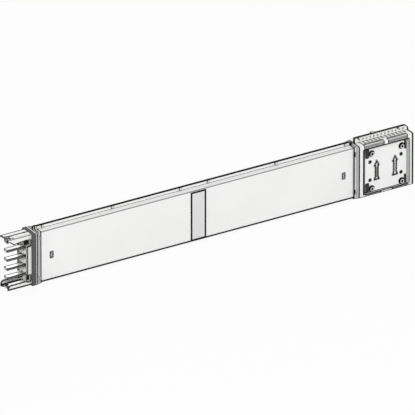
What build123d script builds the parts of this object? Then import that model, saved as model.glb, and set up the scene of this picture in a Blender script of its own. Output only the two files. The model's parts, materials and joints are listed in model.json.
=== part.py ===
from build123d import *
import os

# Busbar trunking section with five conductors and an earth bar, in millimetres.
# X runs along the length, from the male end at -X to the joint block at +X.
# The front faces -Y, Z is up, and the floor is at z = 0.
# Stations along the length are measured from the tips of the male end.

# Stretches of the length, in order from the male end
sleeve_exposed = 69.7
end_gasket_width = 9.9
collar_ring_width = 9.4
collar_skirt_length = 9.2
casing_exposed = 932.1
joint_skirt_length = 6.6
joint_gasket_width = 6.0
block_length = 164.3
overall_length = (sleeve_exposed + end_gasket_width + collar_ring_width + collar_skirt_length
                  + casing_exposed + joint_skirt_length + joint_gasket_width + block_length)

# Casing: folded sheet with a standing seam
casing_depth = 40.0
casing_height = 143.8
casing_sheet = 1.5
casing_corner = 3.0
seam_height = 11.7
seam_slit = 0.2
floor_gap = 1.4
end_butt_gap = 0.3
sleeve_tail = 2.0

# Seam fasteners
fastener_head = 8.5
fastener_head_height = 2.2
fastener_shank = 4.0
fastener_inset_male = 14.6
fastener_inset_joint = 13.0
fastener_pair_pitch = 83.4
fastener_middle_span = 488.4

# Framed marks pressed near both ends of the front face
lance_inset_male = 31.2
lance_inset_joint = 29.0
lance_width = 9.0
lance_height = 17.5
lance_kerf = 2.2
lance_depth = 1.0

# Fire barrier band on the front face
band_width = 45.6
band_station = 543.0
band_sheet = 0.8
band_seal_width = 3.5
band_seal_thickness = 1.1

# Conductors
pole_count = 5
lowest_pole = 29.8
highest_pole_drop = 12.0
bar_width = 17.5
bar_thickness = 6.0
bar_inset = 4.5
bar_tip_cut = 1.5
bar_edge_round = 0.6
earth_bar_lift = 0.1
bar_slot_clearance = 0.2

# Male end sleeve
sleeve_wall = 3.0
sleeve_plate = 1.5
mouth_depth_front = 57.5
mouth_depth_rear = 51.0
cut_overrun = 1.0
lower_arm = 15.2
lower_tip_round = 10.0
upper_arm_root = 13.3
upper_arm_front = 17.2
upper_tip_rise = 5.3
upper_tip_start = 2.0
upper_taper_start = 17.0
lead_in_length = 5.0
lead_in_depth = 1.3
hook_slot_width = 10.5
hook_slot_height = 17.0
hook_slot_drop = 1.2
hook_slot_sink = 2.6
catch_pocket_depth = 7.0
roof_notch_depth = 12.0
roof_notch_reach = 2.0
floor_notch_depth = 10.4
floor_notch_reach = 8.0
floor_tip_round = 9.0
roof_hole = 3.6
roof_hole_stations = [18.4, 59.6]
roof_hole_inset = 4.5

# Bar supports
support_fit = 0.2
support_wall_start = 60.0
support_nose_start = 50.0
support_nose_gap = 3.5
support_nose_width = 20.0
support_nose_chamfer = 3.0
support_mid_width = 20.0
support_mid_count = 2
support_joint_width = 15.0

# Gasket and collar at the male end
gasket_inset = 0.3
collar_corner = 4.0
collar_fit = 0.2
rib_a_width = 2.6
groove_width = 1.8
groove_depth = 1.8
rib_b_inset = 0.8
skirt_wall = 1.6
skirt_floor = 1.2
skirt_clip_length = 5.0
skirt_clip_height = 9.0
skirt_clip_raise = 1.0
skirt_clip_rise = 15.4
skirt_clip_drop = 15.0
lug_thickness = 5.0
lug_start = 5.0
lug_length = 11.6
lug_round = 3.0
seam_lead = 1.6
seam_end_gap = 2.0
seam_slot_fit = 0.3

# Collar at the joint block
joint_skirt_wall = 3.0
joint_skirt_roof = 1.2
joint_web = 1.5
joint_stub_reach = 13.5
joint_lug_length = 6.0
joint_lug_height = 7.5
joint_slot_height = 14.5
joint_slot_length = 5.0
joint_slot_depth = 1.2
joint_slot_rise = 18.7
joint_slot_drop = 18.2

# Joint block
block_depth = 54.0
block_roof_rise = 2.0
block_clearance = 0.4
block_corner = 4.0
cavity_fit = 0.25
rib_height = 16.1
rib_leaf = 2.4
rib_round = 15.0
rib_hole = 3.6
rib_hole_drop = 3.0
rib_hole_inset_left = 12.6
rib_hole_inset_right = 32.0
button_pitch = 11.0
button_rise = 7.5
button_radius = 1.5
button_height = 0.6
button_margin = 14.0
louvre_width = 3.0
louvre_length = 11.0
louvre_height = 0.6
louvre_slant = 22.0
louvre_offset = 7.6
flute_width = 1.9
flute_depth = 0.8
flute_pitch = 3.2
flute_count = 3
flute_inset = 2.6
top_flutes = [(18.0, 57.0), (90.0, 55.4)]
foot_flutes = [(19.7, 46.2), (101.7, 46.8)]

# Recess and cover
cover_thickness = 1.2
recess_run_x = 6.7
recess_run_z = 2.0
recess_corner = 4.0
recess_start = 15.3
recess_end = 11.7
recess_floor = 7.8
recess_head = 13.6
cover_lap = 6.0
cover_fit = 0.2
cover_hole = 7.0
cover_hole_inset_left = 21.6
cover_hole_inset_right = 22.1
cover_hole_rise = 34.3
cover_hole_drop = 40.0
arrow_inset_left = 41.6
arrow_inset_right = 40.5
arrow_rise = 31.1
arrow_height = 56.5
arrow_head_width = 17.5
arrow_head_height = 17.0
arrow_shaft_width = 10.0
arrow_tail_height = 10.0
arrow_line = 2.6
arrow_relief = 0.7

# Through bolts
bolt_inset_left = 26.0
bolt_inset_right = 20.9
bolt_below_lowest = 13.7
bolt_below_highest = 16.2
bolt_head = 15.2
bolt_head_height = 4.5
bolt_flange_height = 1.5
bolt_drive = 8.0
bolt_drive_depth = 2.5
bolt_shank = 6.0
bolt_hole_fit = 0.4
bolt_tail = 1.0
nut_across_flats = 10.0
nut_height = 3.5
boss_diameter = 9.0
seat_gap = 0.1

# Corner clamps
clamp_height = 25.0
clamp_width_left = 11.0
clamp_width_right = 5.8
clamp_thickness = 1.2
clamp_rib_count = 5
clamp_rib_width = 2.6
clamp_rib_height = 1.4
clamp_margin = 0.5
clamp_round = 2.5
clamp_bar = 4.4
clamp_bar_stand = 3.2
clamp_bar_inset = 1.5

# Contacts inside the block
contact_start = 22.5
contact_length = 118.6
contact_thickness = 1.5
contact_fit = 0.1
barrier_margin = 4.0
barrier_side_gap = 0.7
barrier_fit = 0.1
barrier_end_margin = 0.6
bar_end_reach = 66.4

# Cap on the rib
cap_diameter = 13.0
cap_thickness = 2.2
cap_station = 56.7

# Derived places
start_x = -overall_length / 2
gasket_x = start_x + sleeve_exposed
ring_x = gasket_x + end_gasket_width
skirt_x = ring_x + collar_ring_width
casing_front_x = skirt_x + collar_skirt_length
joint_skirt_x = casing_front_x + casing_exposed
joint_gasket_x = joint_skirt_x + joint_skirt_length
block_x = joint_gasket_x + joint_gasket_width
end_x = block_x + block_length

sleeve_width = casing_depth
sleeve_bore_width = sleeve_width - 2 * sleeve_wall
sleeve_bore_height = casing_height - 2 * sleeve_plate
block_wall = (block_depth - casing_depth) / 2 - block_clearance
recess_depth = block_wall - cover_thickness
barrier_width = sleeve_bore_width - 2 * barrier_side_gap

casing_low = floor_gap
casing_high = floor_gap + casing_height
casing_middle = floor_gap + casing_height / 2
seam_top = casing_high + seam_height
block_height = casing_high + block_roof_rise
seam_thickness = 2 * casing_sheet + seam_slit
sleeve_end_x = ring_x + sleeve_tail
casing_start_x = sleeve_end_x + end_butt_gap
casing_end_x = joint_gasket_x - joint_web - end_butt_gap
cavity_low = casing_low - cavity_fit
cavity_high = casing_high + cavity_fit
cavity_half = block_depth / 2 - block_wall
block_middle = block_height / 2
pole_pitch = (casing_height - lowest_pole - highest_pole_drop) / (pole_count - 1)
pole_heights = [casing_low + lowest_pole + pole_pitch * n for n in range(pole_count)]
earth_height = casing_low + casing_sheet + earth_bar_lift + bar_thickness / 2
block_face = -block_depth / 2
cover_face = block_face + recess_depth
recess_left = block_x + recess_start
recess_right = end_x - recess_end
recess_top = block_height - recess_head
recess_length = recess_right - recess_left
recess_height = recess_top - recess_floor
recess_x = (recess_left + recess_right) / 2
recess_z = (recess_floor + recess_top) / 2
pane_length = recess_length - 2 * recess_run_x
pane_height = recess_height - 2 * recess_run_z
cover_length = pane_length + 2 * cover_lap
cover_height = pane_height + 2 * cover_lap
bolt_places = [(x, z) for x in (recess_left + bolt_inset_left, recess_right - bolt_inset_right)
               for z in (pole_heights[0] - bolt_below_lowest, pole_heights[-1] - bolt_below_highest)]
cover_hole_places = [(x, z) for x in (recess_left + cover_hole_inset_left,
                                      recess_right - cover_hole_inset_right)
                     for z in (recess_floor + cover_hole_rise, recess_top - cover_hole_drop)]
arrow_places = [recess_left + arrow_inset_left, recess_right - arrow_inset_right]
arrow_low = recess_floor + arrow_rise

os.makedirs("parts", exist_ok=True)


def save(piece, label):
    piece.part.label = label
    export_step(piece.part, f"parts/{label}.step")


# Casing: one sheet wrapped round the bars, its two edges standing up as the seam
with BuildPart() as casing:
    with BuildSketch(Plane.YZ.offset(casing_start_x)):
        with Locations((0, casing_middle)):
            RectangleRounded(casing_depth, casing_height, casing_corner)
            RectangleRounded(casing_depth - 2 * casing_sheet, casing_height - 2 * casing_sheet,
                             casing_corner - casing_sheet, mode=Mode.SUBTRACT)
    extrude(amount=casing_end_x - casing_start_x)
    with BuildSketch(Plane.YZ.offset(casing_front_x - seam_lead)):
        with Locations((0, casing_high - casing_sheet)):
            Rectangle(seam_thickness, seam_height + casing_sheet, align=(Align.CENTER, Align.MIN))
    extrude(amount=joint_skirt_x - seam_end_gap - casing_front_x + seam_lead)
    with BuildSketch(Plane.YZ.offset(casing_start_x)):
        with Locations((0, casing_high - casing_sheet)):
            Rectangle(seam_slit, seam_height + casing_sheet, align=(Align.CENTER, Align.MIN))
    extrude(amount=casing_end_x - casing_start_x, mode=Mode.SUBTRACT)
    # holes for the seam fasteners
    fastener_middle = casing_front_x + casing_exposed / 2
    fastener_places = [casing_front_x + fastener_inset_male,
                       fastener_middle - fastener_middle_span / 2,
                       fastener_middle - fastener_pair_pitch / 2,
                       fastener_middle + fastener_pair_pitch / 2,
                       fastener_middle + fastener_middle_span / 2,
                       joint_skirt_x - fastener_inset_joint]
    with BuildSketch(Plane.XZ):
        with Locations(*[(x, casing_high + seam_height / 2) for x in fastener_places]):
            Circle(fastener_shank / 2)
    extrude(amount=seam_thickness, both=True, mode=Mode.SUBTRACT)
    # framed marks, pressed into the front face
    lance_places = [casing_front_x + lance_inset_male, joint_skirt_x - lance_inset_joint]
    with BuildSketch(Plane.XZ.offset(casing_depth / 2)):
        with Locations(*[(x, casing_middle) for x in lance_places]):
            Rectangle(lance_width, lance_height)
            Rectangle(lance_width - 2 * lance_kerf, lance_height - 2 * lance_kerf, mode=Mode.SUBTRACT)
    extrude(amount=-lance_depth, mode=Mode.SUBTRACT)
save(casing, "casing")

# Rivets through the standing seam
for number, x in enumerate(fastener_places, start=1):
    with BuildPart() as fastener:
        with BuildSketch(Plane.XZ.offset(seam_thickness / 2)):
            with Locations((x, casing_high + seam_height / 2)):
                Circle(fastener_head / 2)
        extrude(amount=fastener_head_height)
        fillet(fastener.edges().group_by(Axis.Y)[0], fastener_head_height * 0.6)
        mirror(about=Plane.XZ)
        with BuildSketch(Plane.XZ):
            with Locations((x, casing_high + seam_height / 2)):
                Circle(fastener_shank / 2 - seat_gap)
        extrude(amount=seam_thickness / 2 + seat_gap, both=True)
    save(fastener, f"seam_fastener_{number}")

# Fire barrier band: a grey plate framed by a dark seal
band_x = start_x + band_station + band_width / 2
with BuildPart() as band_panel:
    with BuildSketch(Plane.XZ.offset(casing_depth / 2)):
        with Locations((band_x, casing_middle)):
            Rectangle(band_width - 2 * band_seal_width,
                      casing_height - 2 * casing_corner - 2 * band_seal_width)
    extrude(amount=band_sheet)
save(band_panel, "fire_barrier_panel")

with BuildPart() as band_seal:
    with BuildSketch(Plane.XZ.offset(casing_depth / 2)):
        with Locations((band_x, casing_middle)):
            Rectangle(band_width, casing_height - 2 * casing_corner)
            Rectangle(band_width - 2 * band_seal_width,
                      casing_height - 2 * casing_corner - 2 * band_seal_width, mode=Mode.SUBTRACT)
    extrude(amount=band_seal_thickness)
save(band_seal, "fire_barrier_seal")

# Busbars: one flat bar for each conductor, and an earth bar on the casing's floor
bar_start_x = start_x + bar_inset
bar_end_x = block_x + bar_end_reach


def build_bar(label, z):
    with BuildPart() as busbar:
        with BuildSketch(Plane.XY.offset(z - bar_thickness / 2)):
            with Locations(((bar_start_x + bar_end_x) / 2, 0)):
                bar_outline = Rectangle(bar_end_x - bar_start_x, bar_width)
            chamfer(bar_outline.vertices(), bar_tip_cut)
        extrude(amount=bar_thickness)
        chamfer(busbar.edges().filter_by(Axis.X), bar_edge_round)
    save(busbar, label)


for number, z in enumerate(pole_heights, start=1):
    build_bar(f"busbar_{number}", z)
build_bar("earth_bar", earth_height)

# Male end sleeve: a square tube whose two cheeks are cut away around the fingers
sleeve_low = casing_low
sleeve_high = casing_high
lower_edge = sleeve_low + lower_arm
hook_heights = [sleeve_high - upper_arm_root - hook_slot_drop - hook_slot_height / 2,
                lower_edge - hook_slot_sink + hook_slot_height / 2]
hook_places = []
with BuildPart() as end_sleeve:
    with BuildSketch(Plane.YZ.offset(start_x)):
        with Locations((0, casing_middle)):
            RectangleRounded(sleeve_width, casing_height, casing_corner)
            Rectangle(sleeve_bore_width, sleeve_bore_height, mode=Mode.SUBTRACT)
    extrude(amount=sleeve_end_x - start_x)
    # each cheek's mouth: round lower tip, tapered upper arm, and two slots for the block's hooks
    for side, depth in ((1, mouth_depth_front), (-1, mouth_depth_rear)):
        mouth_x = start_x + depth
        with BuildSketch(Plane.XZ):
            with BuildLine():
                Line((mouth_x, lower_edge), (start_x + lower_tip_round, lower_edge))
                RadiusArc((start_x + lower_tip_round, lower_edge),
                          (start_x, lower_edge - lower_tip_round), -lower_tip_round)
                Polyline((start_x, lower_edge - lower_tip_round),
                         (start_x - cut_overrun, lower_edge - lower_tip_round),
                         (start_x - cut_overrun, sleeve_high - upper_tip_rise),
                         (start_x + upper_tip_start, sleeve_high - upper_tip_rise),
                         (start_x + upper_taper_start, sleeve_high - upper_arm_front),
                         (mouth_x, sleeve_high - upper_arm_root),
                         (mouth_x, lower_edge))
            make_face()
            with Locations(*[(mouth_x + hook_slot_width / 2, z) for z in hook_heights]):
                Rectangle(hook_slot_width, hook_slot_height)
        extrude(amount=side * sleeve_width, mode=Mode.SUBTRACT)
        hook_places += [(side, mouth_x + hook_slot_width / 2, z) for z in hook_heights]
    # lead-in on the outer faces of the tips
    with BuildSketch(Plane.XY.offset(sleeve_low)):
        for side in (-1, 1):
            edge = side * sleeve_width / 2
            Polygon((start_x, edge), (start_x + lead_in_length, edge),
                    (start_x, edge - side * lead_in_depth), align=None)
    extrude(amount=casing_height, mode=Mode.SUBTRACT)
    # the roof: a notch in its front half, the slit of its seam and three small holes
    with BuildSketch(Plane.XY.offset(sleeve_high - sleeve_plate)):
        with Locations((start_x, roof_notch_reach)):
            Rectangle(roof_notch_depth, roof_notch_reach + sleeve_bore_width / 2,
                      align=(Align.MIN, Align.MAX))
        with Locations((start_x, 0)):
            Rectangle(sleeve_end_x - start_x, seam_slit, align=(Align.MIN, Align.CENTER))
        with Locations(*[(start_x + s, 0) for s in roof_hole_stations]):
            Circle(roof_hole / 2)
        with Locations((start_x + roof_hole_stations[0], -sleeve_width / 2 + roof_hole_inset)):
            Circle(roof_hole / 2)
    extrude(amount=sleeve_plate, mode=Mode.SUBTRACT)
    # the floor: a notch in its front part, beside a round rear tip
    with BuildSketch(Plane.XY.offset(sleeve_low)):
        with Locations((start_x, floor_notch_reach)):
            Rectangle(floor_notch_depth, floor_notch_reach + sleeve_bore_width / 2,
                      align=(Align.MIN, Align.MAX))
            Rectangle(floor_tip_round, floor_tip_round, align=(Align.MIN, Align.MIN))
        with Locations((start_x + floor_tip_round, floor_notch_reach + floor_tip_round)):
            Circle(floor_tip_round, mode=Mode.SUBTRACT)
    extrude(amount=sleeve_plate, mode=Mode.SUBTRACT)
save(end_sleeve, "end_sleeve")


# Insulating supports: comb blocks with a slot for each bar
def slot_places():
    return [(0, z) for z in pole_heights + [earth_height]]


support_slot_width = bar_width + 2 * bar_slot_clearance
support_slot_height = bar_thickness + 2 * bar_slot_clearance
casing_bore_width = casing_depth - 2 * casing_sheet
casing_bore_height = casing_height - 2 * casing_sheet

with BuildPart() as support_male:
    with BuildSketch(Plane.YZ.offset(start_x + support_wall_start)):
        with Locations((0, casing_middle)):
            Rectangle(sleeve_bore_width - 2 * support_fit, sleeve_bore_height - 2 * support_fit)
    extrude(amount=sleeve_end_x - start_x - support_wall_start)
    # noses that stand forward between the fingers
    nose_height = pole_pitch - bar_thickness - 2 * support_nose_gap
    nose_length = support_wall_start - support_nose_start
    nose_middles = [z + pole_pitch / 2 for z in pole_heights[:-1]]
    with BuildSketch(Plane.YZ.offset(start_x + support_wall_start)):
        with Locations(*[(0, z) for z in nose_middles]):
            Rectangle(support_nose_width, nose_height)
    extrude(amount=-nose_length)
    chamfer(support_male.faces().sort_by(Axis.X)[:len(nose_middles)].edges(), support_nose_chamfer)
    with BuildSketch(Plane.YZ.offset(start_x)):
        with Locations(*slot_places()):
            Rectangle(support_slot_width, support_slot_height)
    extrude(amount=sleeve_end_x - start_x, mode=Mode.SUBTRACT)
    # pockets behind the hook slots
    for side, x, z in hook_places:
        with BuildSketch(Plane.XZ.offset(side * (sleeve_bore_width / 2 - support_fit))):
            with Locations((x, z)):
                Rectangle(hook_slot_width, hook_slot_height)
        extrude(amount=-side * catch_pocket_depth, mode=Mode.SUBTRACT)
save(support_male, "bar_support_male")


def build_inner_support(label, x, width, bore_width, bore_height):
    with BuildPart() as support:
        with BuildSketch(Plane.YZ.offset(x)):
            with Locations((0, casing_middle)):
                RectangleRounded(bore_width - 2 * support_fit, bore_height - 2 * support_fit,
                                 casing_corner)
            with Locations(*slot_places()):
                Rectangle(support_slot_width, support_slot_height, mode=Mode.SUBTRACT)
        extrude(amount=width)
    save(support, label)


support_mid_pitch = casing_exposed / (support_mid_count + 1)
for number in range(1, support_mid_count + 1):
    build_inner_support(f"bar_support_mid_{number}", casing_front_x + number * support_mid_pitch,
                        support_mid_width, casing_bore_width, casing_bore_height)

stub_x = joint_gasket_x - joint_web
stub_end_x = block_x + joint_stub_reach
build_inner_support("bar_support_joint", stub_end_x - support_joint_width, support_joint_width,
                    sleeve_bore_width, sleeve_bore_height)


def ring_sketch(depth, low, high, corner, bore_depth, bore_low, bore_high):
    # a rounded rectangle from low to high, with a square bore
    with Locations((0, (low + high) / 2)):
        RectangleRounded(depth, high - low, corner)
    with Locations((0, (bore_low + bore_high) / 2)):
        Rectangle(bore_depth, bore_high - bore_low, mode=Mode.SUBTRACT)


# Rubber gasket round the sleeve, in front of the collar
with BuildPart() as end_gasket:
    with BuildSketch(Plane.YZ.offset(gasket_x)):
        ring_sketch(block_depth - 2 * gasket_inset, gasket_inset, block_height - gasket_inset,
                    collar_corner, sleeve_width, casing_low, casing_high)
    extrude(amount=end_gasket_width)
save(end_gasket, "end_gasket")

# Collar: a ribbed ring over the sleeve's tail, and a skirt over the casing
ring_low = 0.0
ring_high = block_height
skirt_bore = casing_depth + 2 * collar_fit
skirt_low = casing_low - collar_fit - skirt_floor
skirt_high = casing_high + collar_fit + skirt_wall
with BuildPart() as end_collar:
    with BuildSketch(Plane.YZ.offset(ring_x)):
        ring_sketch(block_depth, ring_low, ring_high, collar_corner,
                    skirt_bore, casing_low - collar_fit, casing_high + collar_fit)
    extrude(amount=collar_ring_width)
    with BuildSketch(Plane.YZ.offset(skirt_x)):
        ring_sketch(skirt_bore + 2 * skirt_wall, skirt_low, skirt_high, casing_corner,
                    skirt_bore, casing_low - collar_fit, casing_high + collar_fit)
    extrude(amount=collar_skirt_length)
    # lug on the roof, in line with the seam
    with BuildSketch(Plane.XZ):
        with Locations((skirt_x - lug_start, ring_high - collar_corner)):
            lug = Rectangle(lug_length, seam_top - ring_high + collar_corner,
                            align=(Align.MIN, Align.MIN))
        fillet(lug.vertices().group_by(Axis.Y)[-1].sort_by(Axis.X)[0], lug_round)
    extrude(amount=lug_thickness / 2, both=True)
    with BuildSketch(Plane.XY.offset(casing_high + collar_fit - casing_corner)):
        with Locations((ring_x, 0)):
            Rectangle(collar_ring_width + collar_skirt_length, skirt_bore,
                      align=(Align.MIN, Align.CENTER))
    extrude(amount=casing_corner, mode=Mode.SUBTRACT)
    # slot for the end of the seam
    with BuildSketch(Plane.XY.offset(casing_high)):
        with Locations((casing_front_x - seam_lead - seam_slot_fit, 0)):
            Rectangle(collar_skirt_length, seam_thickness + 2 * seam_slot_fit,
                      align=(Align.MIN, Align.CENTER))
    extrude(amount=seam_height + 2 * skirt_wall, mode=Mode.SUBTRACT)
    # groove between the two ribs, and the lower second rib
    with BuildSketch(Plane.YZ.offset(ring_x + rib_a_width)):
        with Locations((0, block_middle)):
            Rectangle(2 * block_depth, 2 * block_height)
            RectangleRounded(block_depth - 2 * groove_depth, block_height - 2 * groove_depth,
                             collar_corner - groove_depth, mode=Mode.SUBTRACT)
            Rectangle(lug_thickness, 2 * block_height, mode=Mode.SUBTRACT)
    extrude(amount=groove_width, mode=Mode.SUBTRACT)
    with BuildSketch(Plane.YZ.offset(ring_x + rib_a_width + groove_width)):
        with Locations((0, block_middle)):
            Rectangle(2 * block_depth, 2 * block_height)
            RectangleRounded(block_depth - 2 * rib_b_inset, block_height - 2 * rib_b_inset,
                             collar_corner - rib_b_inset, mode=Mode.SUBTRACT)
            Rectangle(lug_thickness, 2 * block_height, mode=Mode.SUBTRACT)
    extrude(amount=collar_ring_width - rib_a_width - groove_width, mode=Mode.SUBTRACT)
    # snap clips on the front and rear of the skirt
    with BuildSketch(Plane.XZ):
        with Locations(*[(skirt_x + collar_skirt_length / 2, z)
                         for z in (casing_low + skirt_clip_rise, casing_high - skirt_clip_drop)]):
            Rectangle(skirt_clip_length, skirt_clip_height)
    extrude(amount=skirt_bore / 2 + skirt_wall + skirt_clip_raise, both=True)
    with BuildSketch(Plane.YZ.offset(skirt_x)):
        with Locations((0, casing_middle)):
            Rectangle(skirt_bore, casing_height + 2 * collar_fit)
    extrude(amount=collar_skirt_length, mode=Mode.SUBTRACT)
save(end_collar, "end_collar")

# Collar at the block: a skirt over the casing, and a stub that enters the block
joint_bore = casing_depth + 2 * collar_fit
joint_low = casing_low - collar_fit - joint_skirt_roof
joint_high = casing_high + collar_fit + joint_skirt_roof
joint_slot_places = [(joint_skirt_x + joint_skirt_length / 2, z)
                     for z in (casing_low + joint_slot_rise, casing_high - joint_slot_drop)]
with BuildPart() as joint_collar:
    with BuildSketch(Plane.YZ.offset(joint_skirt_x)):
        ring_sketch(joint_bore + 2 * joint_skirt_wall, joint_low, joint_high, casing_corner,
                    joint_bore, casing_low - collar_fit, casing_high + collar_fit)
    extrude(amount=joint_skirt_length)
    # web between the skirt and the stub, against which the casing ends
    with BuildSketch(Plane.YZ.offset(stub_x)):
        ring_sketch(joint_bore + 2 * joint_skirt_wall, joint_low, joint_high, casing_corner,
                    sleeve_bore_width, casing_low + sleeve_plate, casing_high - sleeve_plate)
    extrude(amount=joint_web)
    with BuildSketch(Plane.YZ.offset(stub_x)):
        ring_sketch(sleeve_width, casing_low, casing_high, casing_corner,
                    sleeve_bore_width, casing_low + sleeve_plate, casing_high - sleeve_plate)
    extrude(amount=stub_end_x - stub_x)
    with BuildSketch(Plane.XZ):
        with Locations((joint_gasket_x - joint_lug_length, joint_high - joint_skirt_roof / 2)):
            joint_lug = Rectangle(joint_lug_length, joint_lug_height + joint_skirt_roof / 2,
                                  align=(Align.MIN, Align.MIN))
        fillet(joint_lug.vertices().group_by(Axis.Y)[-1], joint_lug_length * 0.4)
    extrude(amount=lug_thickness / 2, both=True)
    # blind catch slots in the front and rear of the skirt
    with BuildSketch(Plane.XZ.offset(joint_bore / 2 + joint_skirt_wall - joint_slot_depth)):
        with Locations(*joint_slot_places):
            Rectangle(joint_slot_length, joint_slot_height)
    extrude(amount=joint_slot_depth, mode=Mode.SUBTRACT)
    with BuildSketch(Plane.XZ.offset(-joint_bore / 2 - joint_skirt_wall)):
        with Locations(*joint_slot_places):
            Rectangle(joint_slot_length, joint_slot_height)
    extrude(amount=joint_slot_depth, mode=Mode.SUBTRACT)
save(joint_collar, "joint_collar")

with BuildPart() as joint_gasket:
    with BuildSketch(Plane.YZ.offset(joint_gasket_x)):
        ring_sketch(block_depth - 2 * gasket_inset, gasket_inset, block_height - gasket_inset,
                    collar_corner, sleeve_width, casing_low, casing_high)
    extrude(amount=joint_gasket_width)
save(joint_gasket, "joint_gasket")

# Joint block: the front half shell, with its leaf of the rib
button_count = int((block_length - 2 * button_margin) // button_pitch) + 1
button_start = block_x + (block_length - (button_count - 1) * button_pitch) / 2
row_places = [button_start + n * button_pitch for n in range(button_count)]
with BuildPart() as housing_front:
    with BuildSketch(Plane.YZ.offset(block_x)):
        with BuildLine():
            FilletPolyline((0, 0), (block_face, 0), (block_face, block_height), (0, block_height),
                           radius=block_corner)
            Line((0, block_height), (0, 0))
        make_face()
        with Locations((0, (cavity_low + cavity_high) / 2)):
            Rectangle(cavity_half, cavity_high - cavity_low, align=(Align.MAX, Align.CENTER),
                      mode=Mode.SUBTRACT)
    extrude(amount=block_length)
    # the rib's leaf
    with BuildSketch(Plane.XZ):
        with Locations((block_x, cavity_high)):
            leaf = Rectangle(block_length, block_height + rib_height - cavity_high,
                             align=(Align.MIN, Align.MIN))
        fillet(leaf.vertices().group_by(Axis.Y)[-1].sort_by(Axis.X)[-1], rib_round)
        with Locations((block_x + rib_hole_inset_left, block_height + rib_height - rib_hole_drop),
                       (end_x - rib_hole_inset_right, block_height + rib_height - rib_hole_drop)):
            Circle(rib_hole / 2, mode=Mode.SUBTRACT)
    extrude(amount=rib_leaf)
    # clinch buttons along the foot of the rib
    with BuildSketch(Plane.XZ.offset(rib_leaf)):
        with Locations(*[(x, block_height + button_rise) for x in row_places]):
            Circle(button_radius)
    extrude(amount=button_height)
    # slanted stiffening ribs on the roof
    with BuildSketch(Plane.XY.offset(block_height)):
        with Locations(*[Location((x, -louvre_offset, 0), (0, 0, louvre_slant))
                         for x in row_places]):
            SlotOverall(louvre_length, louvre_width, rotation=90)
    extrude(amount=louvre_height)
    # drafted recess
    with BuildSketch(Plane.XZ.offset(-block_face)):
        with Locations((recess_x, recess_z)):
            RectangleRounded(recess_length, recess_height, recess_corner)
    with BuildSketch(Plane.XZ.offset(-cover_face)):
        with Locations((recess_x, recess_z)):
            RectangleRounded(pane_length, pane_height, recess_corner)
    loft(mode=Mode.SUBTRACT)
    # pocket that the cover seats in, from the inside
    with BuildSketch(Plane.XZ.offset(-cover_face)):
        with Locations((recess_x, recess_z)):
            Rectangle(cover_length + 2 * cover_fit, cover_height + 2 * cover_fit)
    extrude(amount=-cover_thickness, mode=Mode.SUBTRACT)
    # grip flutes along the upper and lower edges of the face
    flute_rows = [flute_inset + n * flute_pitch for n in range(flute_count)]
    with BuildSketch(Plane.XZ.offset(-block_face)):
        for station, length in top_flutes:
            for drop in flute_rows:
                with Locations((block_x + station + length / 2, block_height - drop)):
                    SlotOverall(length, flute_width)
        for station, length in foot_flutes:
            with Locations((block_x + station + length / 2, flute_inset)):
                SlotOverall(length, flute_width)
    extrude(amount=-flute_depth, mode=Mode.SUBTRACT)
    # the same flutes on the roof
    with BuildSketch(Plane.XY.offset(block_height)):
        for station, length in top_flutes:
            for inset in flute_rows:
                with Locations((block_x + station + length / 2, block_face + inset + flute_width)):
                    SlotOverall(length, flute_width)
    extrude(amount=-flute_depth, mode=Mode.SUBTRACT)
save(housing_front, "block_housing_front")

# The rear half shell is its mirror image
with BuildPart() as housing_rear:
    add(mirror(housing_front.part, about=Plane.XZ))
save(housing_rear, "block_housing_rear")


def arrow_points(x, inset):
    # corners of an upward arrow with a flared tail, its outline set in by the given amount
    half_head = arrow_head_width / 2 - 1.7 * inset
    half_shaft = arrow_shaft_width / 2 - inset
    low = arrow_low + inset
    tip = arrow_low + arrow_height - 2.2 * inset
    head = arrow_low + arrow_height - arrow_head_height + inset
    tail = arrow_low + arrow_tail_height
    right = [(half_head, low), (half_shaft, tail), (half_shaft, head), (half_head, head)]
    left = [(-across, z) for across, z in reversed(right)]
    return [(x + across, z) for across, z in right + [(0, tip)] + left]


# Covers: flat plates seated in the housings' pockets
with BuildPart() as cover_front:
    with BuildSketch(Plane.XZ.offset(-cover_face)):
        with Locations((recess_x, recess_z)):
            Rectangle(cover_length, cover_height)
        with Locations(*bolt_places):
            Circle(bolt_shank / 2 + bolt_hole_fit, mode=Mode.SUBTRACT)
        with Locations(*cover_hole_places):
            Circle(cover_hole / 2, mode=Mode.SUBTRACT)
    extrude(amount=-cover_thickness)
    # two raised arrows that show which way is up
    with BuildSketch(Plane.XZ.offset(-cover_face)):
        for x in arrow_places:
            Polygon(*arrow_points(x, 0), align=None)
            Polygon(*arrow_points(x, arrow_line), align=None, mode=Mode.SUBTRACT)
    extrude(amount=arrow_relief)
save(cover_front, "block_cover_front")

with BuildPart() as cover_rear:
    with BuildSketch(Plane.XZ.offset(cover_face)):
        with Locations((recess_x, recess_z)):
            Rectangle(cover_length, cover_height)
        with Locations(*bolt_places):
            Circle(bolt_shank / 2 + bolt_hole_fit, mode=Mode.SUBTRACT)
    extrude(amount=cover_thickness)
save(cover_rear, "block_cover_rear")

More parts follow.
